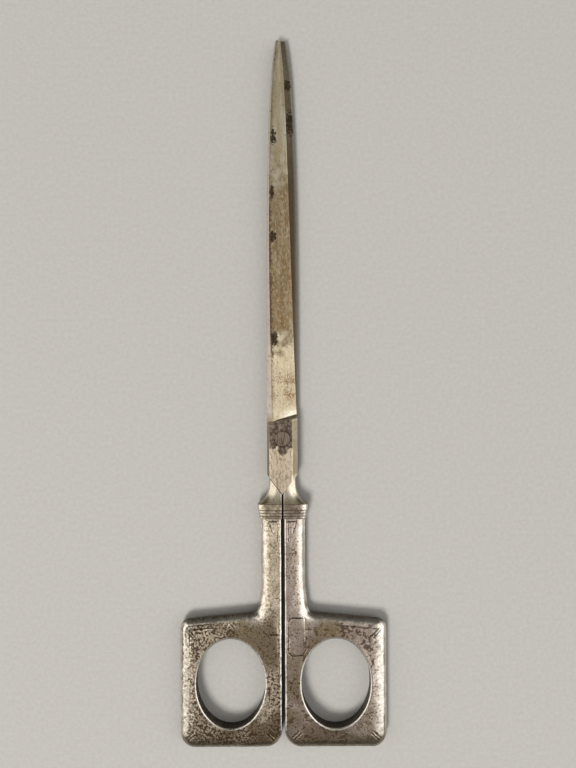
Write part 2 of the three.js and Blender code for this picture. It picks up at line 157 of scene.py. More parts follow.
# Blade
RICASSO = 5.2  # pivot to the plunge, where the ground face starts
BLADE_EDGE = 4.7
EDGE_STRAIGHT = 0.82
EDGE_POWER = 12
EDGE_LAND = 0.35
SPINE_TAPER = 2.7
SPINE_TAPER_POWER = 4
RIDGE_BASE = 1.75
RIDGE_TIP = 0.5
TIP_THICKNESS = 0.9
NOSE_LENGTH = 12
NOSE_DROP = 0.6
NOSE_POWER = 1.4
PLUNGE_SLANT = 0.155
PLUNGE_RAMP = 0.13
PLUNGE_RISE = 0.1
PLUNGE_EASE = 14  # length over which the slant of the plunge dies out along the blade
RAMP_STEPS = 6
STATION = 0.45  # along the blade, between the sections of its mesh
STEEL_ARRIS = 0.09
POINT_HALF = 0.05  # half the blunt end of the lap's V
SIDE_STEPS = (3, 5, 12, 12, 2, 9)  # round a section, from the inner edge of the spine

# Lap and bolster
INNER_FACE = 0.05
LAP_THICKNESS = 2.4
SPINE_CHAMFER = 0.85
EDGE_CHAMFER = 1.85
CHAMFER_DROP = 0.8
SHOULDER_DROP = 11.6  # pivot to the top of the V shoulders
SHOULDER_DEPTH = 6.3
SHOULDER_GAP = 0.3
BOLSTER_LENGTH = 9.5
BOLSTER_STEP = 0.12
NECK_ROUND = Vector((3.6, 1.7))
FOOT_ROUND = Vector((2.4, 1.7))
FLARE_POWER = 4
FLARE_STEPS = 40
NECK_INSET = 0.6
NECK_DROP = 0.45
RIVET_SHANK = 1.6
RIVET_HEAD_DEPTH = 0.8
RIVET_GAP = 0.1
RIVET_DENT = 0.03
RIVET_STEPS = 72
HEAD_STEPS = 8

# Rust spots on each blade: x, y, half width and half length of each, on its own half
FRONT_RUST = ((-2.5, 98.6, 0.9, 2.6), (-3.1, 80.2, 0.7, 2.4), (-2.7, 65.8, 1, 1.7), (-2.4, 32.8, 1.1, 2.6))
BACK_RUST = ((-2.2, 115.5, 1.5, 2), (-2.9, 103, 1.5, 4))

# Zones of wear: from, to and how far they fade out beyond, in millimetres from the pivot
PALE_X = (0, 5, 4)  # beside the slit on the right handle, where the tone of the bow starts lower
PALE_DROP = 15
MELLOW_X = (-13, -3, 4)  # evenly toned, below the left shank
MELLOW_Y = (-72, -58, 6)
CROWDED_X = (20, 27, 4)  # thick with flecks, by the outer top corner of the right bow
CROWDED_Y = (-67, -61, 4)
BRIGHT_Y = (0, 27, 6)  # along the blades, from here on
BROWNED_Y = (38, 80, 14)
RUSTY_Y = (38, 43, 5)
SOILED_Y = (29, 72, 8)
DRIFT_RISE = (8, 14)  # where the drift of rust specks comes in and dies out
DRIFT_FALL = (17, 27)
DULL_TIP = (117, 129)

# Colours
SILVER_CLEAN = (0.56, 0.475, 0.41, 1)
SILVER_BRIGHT = (0.86, 0.82, 0.745, 1)
SILVER_PALE = (0.84, 0.73, 0.58, 1)
SILVER_MAUVE = (0.345, 0.26, 0.222, 1)
SILVER_WARM = (0.28, 0.22, 0.152, 1)
SILVER_OLIVE = (0.3, 0.24, 0.15, 1)
SILVER_FOOT = (0.25, 0.2, 0.12, 1)
SILVER_DIRT = (0.2, 0.15, 0.1, 1)
SILVER_PIT = (0.09, 0.058, 0.035, 1)
SILVER_BLACK = (0.03, 0.023, 0.017, 1)
STEEL_GREY = (0.37, 0.332, 0.252, 1)
STEEL_OLIVE = (0.28, 0.236, 0.15, 1)
STEEL_BROWN = (0.16, 0.108, 0.052, 1)
STEEL_CREAM = (0.54, 0.458, 0.325, 1)
STEEL_ROSE = (0.82, 0.69, 0.53, 1)
STEEL_GLINT = (0.86, 0.81, 0.7, 1)
STEEL_POLISHED = (0.72, 0.66, 0.54, 1)
STEEL_RIDGE = (0.42, 0.375, 0.33, 1)
STEEL_DULL = (0.2, 0.168, 0.118, 1)
STEEL_SHADE = (0.108, 0.085, 0.058, 1)
STEEL_GRIME = (0.08, 0.058, 0.036, 1)
RUST_LIGHT = (0.22, 0.125, 0.048, 1)
RUST_DARK = (0.04, 0.027, 0.018, 1)
STAIN = (0.09, 0.066, 0.052, 1)
STAIN_PALE = (0.34, 0.27, 0.21, 1)
RIVET_RUBBED = (0.28, 0.222, 0.17, 1)
LAP_STREAK = (0.36, 0.265, 0.16, 1)
CEMENT_DARK = (0.06, 0.042, 0.03, 1)
CEMENT_PALE = (0.13, 0.095, 0.07, 1)
FLOOR_DARK = (0.27, 0.264, 0.252, 1)
FLOOR_PALE = (0.335, 0.328, 0.312, 1)
ROOM_OVERHEAD = (0.4, 0.39, 0.374, 1)
ROOM_LEFT = (1.42, 1.37, 1.28, 1)
ROOM_RIGHT = (1.72, 1.7, 1.66, 1)
ROOM_NEAR = (0.16, 0.155, 0.14, 1)
ROOM_FAR = (0.11, 0.105, 0.095, 1)
ROOM_SKIRTING = (0.45, 0.43, 0.4, 1)

# Floor, light and camera
FLOOR_SIZE = 3
LAMP_PLACE = Vector((-0.9, -1.7, 2.5))
LAMP_SIZE = 1.0
LAMP_POWER = 128
LAMP_COLOUR = (1, 0.98, 0.95)
CAMERA_HEIGHT = 260  # millimetres above the front of the bows
VIEW_LENGTH = 248.7  # what the long side of the picture shows at that face, in millimetres
CAMERA_X = 0.00194
CAMERA_Y = 0.00312
CAMERA_ROLL = math.radians(-0.28)

# Places that follow from the sizes above
SHANK_X = INNER_X + SHANK_WIDTH
LAP_FACE = INNER_FACE + LAP_THICKNESS
LAP_EDGE_Z = LAP_FACE - CHAMFER_DROP
BLADE_LENGTH = TIP_Y - RICASSO
APEX = -(SHOULDER_DROP + SHOULDER_DEPTH)


def lerp(a, b, t):
    return a + (b - a) * t


def smooth(value, low, high):
    """0 below low, 1 above high, and an even S between them."""
    t = min(max((value - low) / (high - low), 0), 1)
    return t * t * (3 - 2 * t)


def top_edge(x):
    """Height of the bow's sloping top edge, drawn without its corners."""
    above_oval = OVAL.y + OVAL_OUTER.y - BAND_WALL + TOP_RIM
    return above_oval - (x - OVAL.x) * math.tan(BOW_SLOPE)


BOW_TOP = top_edge(SHANK_X)
TAPER_END = BOW_TOP + TAPER_FOOT


def handle_half(y):
    """Half the handle's thickness, which the shank loses towards the ferrule."""
    share = max(0, (y - TAPER_END) / (SHELL_TOP - TAPER_END))
    return lerp(BOW_HALF, SHANK_HALF, share)


def rounded_path(corners, step):
    """Points along straight runs joined by arcs, each with its direction. A corner is (x, y, radius)."""
    here = Vector(corners[0][:2])
    path = [(here, (Vector(corners[1][:2]) - here).normalized())]
    for i in range(1, len(corners)):
        corner = Vector(corners[i][:2])
        ahead = (corner - here).normalized()
        after = Vector(corners[min(i + 1, len(corners) - 1)][:2])
        onward = (after - corner).normalized() if after != corner else ahead
        turn = math.atan2(ahead.cross(onward), ahead.dot(onward))
        radius = corners[i][2]
        start = corner - ahead * radius * math.tan(abs(turn) / 2)
        count = max(1, round((start - here).length / step))
        path += [(here.lerp(start, k / count), ahead) for k in range(1, count + 1)]
        side = Vector((-ahead.y, ahead.x)) * math.copysign(radius, turn)
        count = math.ceil(radius * abs(turn) / step)
        for k in range(1, count + 1):
            spin = Matrix.Rotation(turn * k / count, 2)
            path.append((start + side - spin @ side, spin @ ahead))
        here = path[-1][0]
    return path


def edge_size(direction):
    """Width and depth of the handle's edge, crisp beside the slit and fuller as the outline turns away."""
    if direction.y >= 0:
        return EDGE_WIDTH, lerp(BOW_EDGE_DEPTH, SHANK_EDGE_DEPTH, smooth(direction.y, 0.3, 1))
    share = max(0, math.atan2(direction.x, -direction.y)) / (math.pi / 2)
    return lerp(SLIT_EDGE_WIDTH, EDGE_WIDTH, share), lerp(SLIT_EDGE_DEPTH, BOW_EDGE_DEPTH, share)


def handle_outline():
    """Points, inward normals and edge sizes from the ferrule down the slit, round the bow and back."""
    flare_x = SHANK_X + SHANK_FLARE
    path = rounded_path([
        (INNER_X, SHELL_TOP, 0),
        (INNER_X, BOW_LOW, INNER_CORNER),
        (OUTER_X, BOW_LOW, LOW_CORNER),
        (OUTER_X, top_edge(OUTER_X), TOP_CORNER),
        (flare_x, top_edge(flare_x), SHANK_FILLET),
        (SHANK_X, BOW_TOP + FLARE_RUN, FLARE_BEND),
        (SHANK_X, SHELL_TOP, 0),
    ], MESH_STEP)
    return [(point, Vector((-way.y, way.x)), *edge_size(way)) for point, way in path]


def oval(offset, count):
    """Points round the finger hole, counter-clockwise, at an offset from the outside of its band."""
    points = []
    for k in range(count):
        turn = 2 * math.pi * k / count
        x = OVAL.x + (OVAL_OUTER.x + offset) * math.cos(turn)
        y = OVAL.y + (OVAL_OUTER.y + offset) * math.sin(turn)
        points.append(Vector((x, y)))
    return points


def oval_reach(point):
    """How far out a point lies: 1 on the outside of the finger band, less inside it."""
    return Vector(((point.x - OVAL.x) / OVAL_OUTER.x, (point.y - OVAL.y) / OVAL_OUTER.y)).length


def border_line(inset, least_x, least_y):
    """What wear has left of a line chased inside the edge of the bow."""
    return [point + inward * inset for point, inward, _, _ in handle_outline()
            if point.x > least_x and least_y < point.y < BOW_TOP]


def corner_lines():
    """Two strokes across each corner of the bow but the one below the shank."""
    corners = ((OUTER_X, top_edge(OUTER_X), -1, -1), (OUTER_X, BOW_LOW, -1, 1), (INNER_X, BOW_LOW, 1, 1))
    lines = []
    for x, y, way_x, way_y in corners:
        start = Vector((x - CORNER_START.x * way_x, y + CORNER_START.y * way_y))
        way = Vector((way_x, way_y)).normalized()
        across = Vector((way.y, -way.x)) * STROKE_GAP / 2
        for place in (start + across, start - across):
            lines.append([place, place + way * STROKE_LENGTH])
    return lines


def pendant_lines():
    """The triangle that hangs from the ferrule at the top of the shank, with one line beside the slit."""
    high = SHELL_TOP - 0.9
    triangle = [Vector((1.8, high)), Vector((4.6, high)), Vector((3.4, high - 3.4))]
    return [triangle, [Vector((1.8, high - 0.8)), Vector((1.8, high - 6.3))]]


def cartouche_lines():
    """The long empty panel with cut corners between the slit and the finger hole."""
    left, right, high, low, cut = 1.7, 7.35, -58.1, -70.4, 1.1
    corners = [
        (left, high - cut), (left + cut, high), (right - 0.2, high), (right, high - cut),
        (right, low + 2 * cut), (right - cut, low + 0.2), (left + cut, low), (left, low + cut),
        (left, high - cut),
    ]
    return [[Vector(corner) for corner in corners]]


def worn_panel_lines():
    """What wear has left of such a panel on the left handle."""
    return [
        [Vector((1.4, -59.6)), Vector((1.4, -70.3))],
        [Vector((1, -63.5)), Vector((4.3, -63.5))],
    ]


def along(line, step):
    """Points along a line of straight runs."""
    points = []
    for a, b in zip(line, line[1:]):
        count = max(1, math.ceil((b - a).length / step))
        points += [a.lerp(b, k / count) for k in range(count)]
    return points + [line[-1]]


def nearest_tree(points):
    tree = kdtree.KDTree(len(points))
    for i, point in enumerate(points):
        tree.insert((point.x, point.y, 0), i)
    tree.balance()
    return tree


def distance(tree, point):
    return tree.find((point.x, point.y, 0))[2]


def line_rows(lines):
    """Points along chased lines and beside them, close enough for the mesh to show the groove."""
    rows = []
    for line in lines:
        for a, b in zip(line, line[1:]):
            across = Vector((a.y - b.y, b.x - a.x)).normalized()
            for point in along([a, b], LINE_STEP):
                rows += [point + across * LINE_HALF * share for share in (-1, -0.5, 0, 0.5, 1)]
    return rows


def face_points(rim, hole, lines):
    """Loose points over the face of a handle: rows along the chased lines and an even spread between them."""
    rows = line_rows(lines)
    edges = nearest_tree(rim + hole)
    kept = [point for point in rows if distance(edges, point) > MESH_STEP / 2]
    taken = nearest_tree(rim + hole + kept)
    row_height = MESH_STEP * math.sqrt(3) / 2
    for row in range(math.ceil((SHELL_TOP - BOW_LOW) / row_height)):
        for column in range(math.ceil((OUTER_X - INNER_X) / MESH_STEP)):
            x = INNER_X + (column + 0.5 * (row % 2)) * MESH_STEP
            point = Vector((x, BOW_LOW + row * row_height))
            if distance(taken, point) > MESH_STEP * 0.7:
                kept.append(point)
    return kept


def fill(rim, hole, loose):
    """Points and triangles of the face between rim and hole, and the places of the rim's points."""
    rim_edges = [(i, (i + 1) % len(rim)) for i in range(len(rim))]
    hole_edges = [(len(rim) + i, len(rim) + (i + 1) % len(hole)) for i in range(len(hole))]
    points, _, triangles, sources, _, _ = geometry.delaunay_2d_cdt(
        rim + hole + loose, rim_edges + hole_edges, [], 2, 1e-5)
    triangles = [t for t in triangles if oval_reach(sum((points[i] for i in t), Vector((0, 0))) / 3) > 1]
    place = {source: i for i, merged in enumerate(sources) for source in merged}
    return points, triangles, [place[i] for i in range(len(rim))]


def hammered(place, seed):
    """Depths, from 0 to 1, of the planishing marks and of the small marks between them."""
    drawn = Vector((place.x, place.y * FACET_DRAW, place.z))
    broad = noise.voronoi(drawn / FACET + seed)[0][0]
    fine = noise.voronoi(place / PEEN + seed)[0][0]
    return max(0, 1 - broad * broad * MARK_FALL), max(0, 1 - fine * fine * MARK_FALL)


def shell_surface(outline, lines):
    """Points, normals and faces of half a handle: its face, rounded edge and wall down to the seam."""
    rim = [point + inward * width for point, inward, width, _ in outline]
    hole = oval(FIT, OVAL_STEPS)
    points, triangles, rim_places = fill(rim, hole, face_points(rim, hole, lines))
    verts = [Vector((p.x, p.y, handle_half(p.y))) for p in points]
    normals = [Vector((0, 0, 1)) for _ in points]
    faces = [list(triangle) for triangle in triangles]
    last_ring = rim_places
    for step in range(1, ROUND_STEPS + WALL_STEPS + 1):
        angle = max(0, 1 - step / ROUND_STEPS) * math.pi / 2
        wall = max(0, step - ROUND_STEPS) / WALL_STEPS
        ring = list(range(len(verts), len(verts) + len(outline)))
        for point, inward, width, depth in outline:
            place = point + inward * width * (1 - math.cos(angle))
            z = handle_half(point.y) - depth * (1 - math.sin(angle))
            verts.append(Vector((place.x, place.y, lerp(z, SEAM, wall))))
            outward = inward * -math.cos(angle) / width
            normals.append(Vector((outward.x, outward.y, math.sin(angle) / depth)).normalized())
        faces += [[last_ring[i], ring[i], ring[i + 1], last_ring[i + 1]] for i in range(len(ring) - 1)]
        last_ring = ring
    return verts, normals, faces


def handle_shell(name, side, lines, seed, peen):
    """One half of the hollow handle, hammered and chased, with masks for its finish, painted shade and a
    painted highlight among them.
    """
    outline = handle_outline()
    verts, normals, faces = shell_surface(outline, lines)
    marks = nearest_tree([point for line in lines for point in along(line, LINE_HALF / 2)])
    outside = nearest_tree([point for point, inward, _, _ in outline if inward.x < 0.9])
    outer_side = nearest_tree([point for point, inward, _, _ in outline if inward.x < -0.5])
    masks = []
    for i, vert in enumerate(verts):
        normal = normals[i]
        above_seam = smooth(vert.z, SEAM, 1)
        off_band = smooth(oval_reach(vert), 1, 1.08)
        free = above_seam * off_band * smooth(SHELL_TOP - vert.y, 0, 0.6)
        broad, fine = hammered(vert, seed)
        groove = max(0, 1 - distance(marks, vert) / LINE_HALF) if normal.z > 0.9 else 0
        on_edge = smooth(1 - normal.z, 0.002, 0.06)
        depth = FACET_DEPTH * broad + peen * fine + LINE_DEPTH * groove
        # Painted shade: the walls beside the slit, the walls that face along the scissors and the foot of the
        # wall by the seam are marked to be painted near-black.
        slit_wall = smooth(-normal.x, 0.75, 0.98)
        end_wall = 0.85 * smooth(abs(normal.y), 0.45, 0.8)
        painted_shade_and_grime = max(slit_wall, end_wall, 0.7 * (1 - smooth(vert.z, SEAM, 0.4)))
        crown = CROWN * max(0, 1 - distance(outside, vert) / CROWN_WIDTH) ** 2 * smooth(vert.z, SEAM, 1.5)
        verts[i] = vert - normal * depth * free - Vector((0, 0, crown))
        # A band along the outer sides rubbed bright: wear, and a painted highlight that widens the bright
        # band there.
        worn_and_highlight_width = lerp(WORN_AND_HIGHLIGHT_WIDTH / 2, WORN_AND_HIGHLIGHT_WIDTH, smooth(BOW_TOP - vert.y, -4, 2))
        worn_and_highlight = 0.85 * (1 - smooth(distance(outer_side, vert), 0.3 * worn_and_highlight_width, worn_and_highlight_width))
        masks.append({
            "hollow": free * (broad * 0.5 + fine * 0.5),
            "line": smooth(groove, 0, 0.55),
            "edge": max(worn_and_highlight, on_edge) * (1 - painted_shade_and_grime),
            "painted_shade_and_grime": painted_shade_and_grime,
        })
    if side < 0:
        verts = [Vector((v.x, v.y, -v.z)) for v in verts]
        faces = [face[::-1] for face in faces]
    piece = new_piece(name, verts, faces)
    store_masks(piece, masks)
    skin = piece.modifiers.new("skin", "SOLIDIFY")
    skin.thickness = SKIN
    skin.offset = -1
    bake_modifiers(piece)
    return piece


def new_object(name, data):
    made = bpy.data.objects.new(name, data)
    bpy.context.scene.collection.objects.link(made)
    return made


def new_piece(name, verts, faces):
    mesh = bpy.data.meshes.new(name)
    mesh.from_pydata(verts, [], faces)
    return new_object(name, mesh)


def store_masks(piece, masks):
    """Stores the named numbers of each vertex for the materials to read."""
    for name in masks[0]:
        values = [mask[name] for mask in masks]
        piece.data.attributes.new(name, "FLOAT", "POINT").data.foreach_set("value", values)


def bake_modifiers(piece):
    """Makes what the modifiers show the piece's own mesh."""
    shown = piece.evaluated_get(bpy.context.evaluated_depsgraph_get())
    mesh = bpy.data.meshes.new_from_object(shown)
    piece.modifiers.clear()
    piece.data = mesh


def carve(piece, tool, operation):
    """Joins a tool to the piece or cuts the piece with it. The tool is used up."""
    boolean = piece.modifiers.new("carve", "BOOLEAN")
    boolean.operation = operation
    boolean.solver = "EXACT"
    boolean.object = tool
    bake_modifiers(piece)
    bpy.data.objects.remove(tool)


def weld(piece):
    """Merges points that meet and turns all faces outwards."""
    work = bmesh.new()
    work.from_mesh(piece.data)
    bmesh.ops.remove_doubles(work, verts=work.verts, dist=1e-4)
    bmesh.ops.dissolve_degenerate(work, edges=work.edges, dist=1e-5)
    bmesh.ops.delete(work, geom=[v for v in work.verts if not v.link_faces], context="VERTS")
    bmesh.ops.recalc_face_normals(work, faces=work.faces)
    work.to_mesh(piece.data)
    work.free()


def settle(piece, half, body, node, material, sharp=38):
    """Puts a finished piece in its place, ties it to its body and its finish, and hides the CAD node it
    stands for.
    """
    weld(piece)
    piece.data.transform(half)
    piece.data.shade_smooth()
    piece.data.set_sharp_from_angle(angle=math.radians(sharp))
    piece.data.materials.clear()
    piece.data.materials.append(material)
    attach(piece, body)
    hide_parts(node)


def loft(name, rings, closed=False):
    """A skin through rings of points, closed into a loop or capped at both ends."""
    count = len(rings[0])
    verts = [point for ring in rings for point in ring]
    faces = []
    last = len(rings) if closed else len(rings) - 1
    for r in range(last):
        here, there = r * count, (r + 1) % len(rings) * count
        for i in range(count):
            j = (i + 1) % count
            faces.append([here + i, here + j, there + j, there + i])
    if not closed:
        faces.append(list(range(count))[::-1])
        faces.append(list(range(len(verts) - count, len(verts))))
    return new_piece(name, verts, faces)


def finger_band(name, seed):
    """The oval lining of a finger hole, with rolled rims and a slightly uneven wall."""
    quarter = [k / RIM_STEPS * math.pi / 2 for k in range(RIM_STEPS + 1)]
    inside = [(RIM_ROUND * (1 - math.sin(a)), BOW_HALF - RIM_ROUND * (1 - math.cos(a))) for a in quarter]
    wall = [(0, BOW_HALF * share) for share in (0.7, 0.5, 0.25, 0)]
    upper = [(BAND_WALL, BOW_HALF)] + inside + wall
    profile = upper + [(inset, -z) for inset, z in reversed(upper[:-1])]
    rings = []
    masks = []
    for inset, z in profile:
        ring = []
        for point in oval(inset - BAND_WALL, OVAL_STEPS):
            away = (point - OVAL).normalized()
            dent = noise.noise(Vector((point.x, point.y, z)) / FACET + seed) * BAND_DENT
            ring.append(Vector((point.x + away.x * dent, point.y + away.y * dent, z)))
        rings.append(ring)
        # Painted shade on the band's inner wall; the rolled rims are rubbed bright, wear and partly a painted
        # highlight.
        masks += [{"painted_shade_and_grime": 0.9 * (inset == 0), "edge": float(0 < inset < BAND_WALL)}] * OVAL_STEPS
    made = loft(name, rings, closed=True)
    store_masks(made, masks)
    return made


def collar_section(outer_x, half, rounding):
    """Section of a collar as points (x, z): flat on the slit side, rounded to an oval on the outer side."""
    inner_x = COLLAR_SLIT / 2 + ARRIS
    crisp = Vector((ARRIS, ARRIS))
    corners = [
        (inner_x, -half + ARRIS, crisp, 2),
        (outer_x - rounding.x, -half + rounding.y, rounding, 3),
        (outer_x - rounding.x, half - rounding.y, rounding, 0),
        (inner_x, half - ARRIS, crisp, 1),
    ]
    arcs = []
    for x, z, reach, quarter in corners:
        angles = [(quarter + k / COLLAR_STEPS) * math.pi / 2 for k in range(COLLAR_STEPS + 1)]
        arcs.append([Vector((x + reach.x * math.cos(a), z + reach.y * math.sin(a))) for a in angles])
    points = []
    for arc, following in zip(arcs, arcs[1:] + arcs[:1]):
        points += arc
        points += [arc[-1].lerp(following[0], k / COLLAR_STEPS) for k in range(1, COLLAR_STEPS)]
    return points


def ferrule(name):
    """The collar above the handle: a plain band with eased edges, then flat rings parted by fine grooves."""
    swell = (BOW_HALF - SHANK_HALF) / BAND_PROUD
    stations = []
    for k in range(EASE_STEPS + 1):
        turn = k / EASE_STEPS * math.pi / 2
        proud = BAND_PROUD - BAND_EASE * (1 - math.sin(turn))
        stations.append((BAND_EASE * (1 - math.cos(turn)), proud, 0))
    stations += [(BAND_LENGTH - down, proud, 0) for down, proud, _ in stations[::-1]]
    steps = RING_COUNT * RING_STEPS
    for k in range(steps + 1):
        groove = max(0, 1 - abs(math.sin(k / RING_STEPS * math.pi)) / GROOVE_SHARE)
        proud = lerp(RING_PROUD, LAST_PROUD, k / steps) - RING_DEPTH * groove
        down = BAND_LENGTH + max(BAND_STEP, k / steps * RINGS_LENGTH)
        stations.append((down, proud, groove))
    rings = []
    masks = []
    for down, proud, groove in stations:
        points = collar_section(SHANK_X + proud, SHANK_HALF + proud * swell, FERRULE_ROUND)
        rings.append([Vector((p.x, FERRULE_TOP - down, p.y)) for p in points])
        for p in points:
            # Painted shade beside the slit; the outer end is rubbed bright, wear and partly a painted
            # highlight.
            painted_shade_and_grime = 1 - smooth(p.x, COLLAR_SLIT / 2, INNER_X)
            masks.append({"line": groove, "painted_shade_and_grime": painted_shade_and_grime, "edge": smooth(p.x, SHANK_X - 1.2, SHANK_X)})
    made = loft(name, rings)
    store_masks(made, masks)
    carve(made, tang(FIT), "DIFFERENCE")
    return made


def tang(clearance):
    """The tang that holds the blade in its handle, or with a clearance the hole that it sits in."""
    middle = INNER_X + SHANK_WIDTH / 2
    stations = [
        (TANG_END - clearance, TANG_TIP),
        (SHELL_TOP, TANG_ROOT),
        (FERRULE_TOP + TANG_GRIP, TANG_ROOT),
    ]
    rings = []
    for y, half in stations:
        x, z = half.x + clearance, half.y + clearance
        rings.append([Vector((middle + x * a, y, z * b)) for a, b in ((-1, -1), (-1, 1), (1, 1), (1, -1))])
    made = loft("tang", rings)
    weld(made)
    return made


def section(corners):
    """Points round a section: its corners (x, z), broken by a small arris, and even steps between them."""
    places = [Vector(corner) for corner in corners]
    arcs = []
    for i, corner in enumerate(places):
        before = places[i - 1] - corner
        after = places[(i + 1) % len(places)] - corner
        start = corner + before.normalized() * min(STEEL_ARRIS, before.length / 3)
        end = corner + after.normalized() * min(STEEL_ARRIS, after.length / 3)
        arcs.append([start, (start + 2 * corner + end) / 4, end])
    points = []
    for arc, following, steps in zip(arcs, arcs[1:] + arcs[:1], SIDE_STEPS):
        points += arc
        points += [arc[-1].lerp(following[0], k / steps) for k in range(1, steps)]
    return points


def lap_top(x):
    """Height of the lap's face, with its chamfered sides."""
    rise = min((x + LAP_HALF) / SPINE_CHAMFER, (LAP_HALF - x) / EDGE_CHAMFER, 1)
    return LAP_FACE - CHAMFER_DROP * (1 - max(0, rise))


LAP_CORNERS = (
    (-LAP_HALF, INNER_FACE),
    (-LAP_HALF, LAP_EDGE_Z),
    (-LAP_HALF + SPINE_CHAMFER, LAP_FACE),
    (LAP_HALF - EDGE_CHAMFER, LAP_FACE),
    (LAP_HALF, LAP_EDGE_Z),
    (LAP_HALF, INNER_FACE),
)


def blade_corners(share):
    """Corners of the blade's section at a share of its length."""
    nose = max(0, 1 - (1 - share) * BLADE_LENGTH / NOSE_LENGTH)
    spine = -LAP_HALF + SPINE_TAPER * share ** SPINE_TAPER_POWER + NOSE_DROP * nose ** NOSE_POWER
    edge = BLADE_EDGE * (1 - lerp(share ** EDGE_POWER, share, EDGE_STRAIGHT))
    ridge = spine + lerp(RIDGE_TIP, RIDGE_BASE, (1 - share) ** 2)
    thickness = lerp(LAP_THICKNESS, TIP_THICKNESS, share)
    ridge_z = INNER_FACE + thickness
    edge_z = INNER_FACE + EDGE_LAND
    return (
        (spine, INNER_FACE),
        (spine, ridge_z - CHAMFER_DROP * thickness / LAP_THICKNESS),
        (ridge, ridge_z),
        (lerp(ridge, edge, 0.5), lerp(ridge_z, edge_z, 0.5)),
        (edge, edge_z),
        (edge, INNER_FACE),
    )


def lap_rings():
    """The lap from the point of its V up to the plunge, whose slant comes in along the way."""
    lap = section(LAP_CORNERS)
    rings = []
    v_steps = round(SHOULDER_DEPTH / STATION)
    for k in range(v_steps):
        limit = lerp(POINT_HALF, LAP_HALF, k / v_steps)
        ring = []
        for x, z in lap:
            inside = min(max(x, -limit), limit)
            height = z if z <= LAP_EDGE_Z or inside == x else lap_top(inside)
            ring.append(Vector((inside, APEX + SHOULDER_DEPTH * k / v_steps, height)))
        rings.append(ring)
    steps = round((SHOULDER_DROP + RICASSO) / STATION)
    for k in range(steps + 1):
        share = k / steps
        y = lerp(-SHOULDER_DROP, RICASSO, share)
        rings.append([Vector((x, y + share * PLUNGE_SLANT * (x + LAP_HALF), z)) for x, z in lap])
    return rings


def ground_rings():
    """The ground blade, from the ramp of the plunge to the tip."""
    lap = section(LAP_CORNERS)
    start = section(blade_corners(0))
    rings = []
    for k in range(1, RAMP_STEPS + 1):
        share = k / RAMP_STEPS
        ring = []
        for a, b in zip(lap, start):
            place = a.lerp(b, smooth(share, 0, 1))
            across = place.x + LAP_HALF
            y = RICASSO + PLUNGE_SLANT * across + share * (PLUNGE_RISE + PLUNGE_RAMP * across)
            ring.append(Vector((place.x, y, place.y)))
        rings.append(ring)
    steps = round(BLADE_LENGTH / STATION)
    for k in range(1, steps + 1):
        run = BLADE_LENGTH * k / steps
        left = max(0, 1 - run / PLUNGE_EASE)
        ring = []
        for x, z in section(blade_corners(run / BLADE_LENGTH)):
            slant = PLUNGE_RISE + (PLUNGE_SLANT + PLUNGE_RAMP) * (x + LAP_HALF)
            ring.append(Vector((x, RICASSO + run + slant * left, z)))
        rings.append(ring)
    return rings


def bolster():
    """The flared bolster below the lap, cut away behind for the other half's V."""
    foot = Vector((FERRULE_OUTER - BOLSTER_STEP, BOW_HALF - BOLSTER_STEP))
    neck = Vector((LAP_HALF - NECK_INSET, LAP_FACE - NECK_DROP))
    rings = []
    for k in range(FLARE_STEPS + 1):
        down = 1 - k / FLARE_STEPS
        flare = down ** FLARE_POWER
        size = neck.lerp(foot, flare)
        y = -SHOULDER_DROP - down * BOLSTER_LENGTH
        points = collar_section(size.x, size.y, NECK_ROUND.lerp(FOOT_ROUND, flare))
        rings.append([Vector((p.x, y, p.y)) for p in points])
    made = loft("bolster", rings)
    slope = SHOULDER_DEPTH / LAP_HALF
    apex = APEX - SHOULDER_GAP * math.hypot(1, slope)
    side = 2 * LAP_HALF
    plan = [(0, apex), (side, apex + side * slope), (side, 0), (-side, 0), (-side, apex + side * slope)]
    heights = (-2 * BOW_HALF, INNER_FACE + FIT)
    carve(made, loft("v_cut", [[Vector((x, y, z)) for x, y in plan] for z in heights]), "DIFFERENCE")
    return made


def turned(name, profile):
    """A body of revolution about the rivet's axis, from a profile of (radius, z)."""
    rings = []
    for radius, z in profile:
        angles = [2 * math.pi * k / RIVET_STEPS for k in range(RIVET_STEPS)]
        rings.append([Vector((radius * math.cos(a), radius * math.sin(a), z)) for a in angles])
    return loft(name, rings)


def rivet_seat():
    head = RIVET_RADIUS + RIVET_GAP
    shank = RIVET_SHANK + RIVET_GAP
    seat = LAP_FACE - RIVET_HEAD_DEPTH
    return turned("seat", [(head, -BOW_HALF), (head, -LAP_FACE), (shank, -seat),
                           (shank, seat), (head, LAP_FACE), (head, BOW_HALF)])


def rivet(name):
    """The rivet, with both heads spread flush into their seats and slightly domed by the hammer."""
    seat = LAP_FACE - RIVET_HEAD_DEPTH
    rise = rivet_high.z - LAP_FACE
    head = [(RIVET_RADIUS * math.cos(a), LAP_FACE + rise * math.sin(a))
            for a in (k / HEAD_STEPS * math.pi / 2 for k in range(HEAD_STEPS))]
    upper = [(RIVET_SHANK, seat)] + head
    made = turned(name, [(radius, -z) for radius, z in reversed(upper)] + upper)
    for vert in made.data.vertices:
        dent = noise.noise(vert.co / PEEN) * RIVET_DENT
        vert.co.z -= math.copysign(max(0, dent), vert.co.z)
    return made


def rust_at(place, spots):
    """How rusted a place on the blade is, from 0 to 1."""
    rust = 0
    for x, y, half_width, half_length in spots:
        reach = Vector(((place.x - x) / half_width, (place.y - y) / half_length)).length
        rust = max(rust, 1 - smooth(reach, 0.4, 1.5))
    return rust


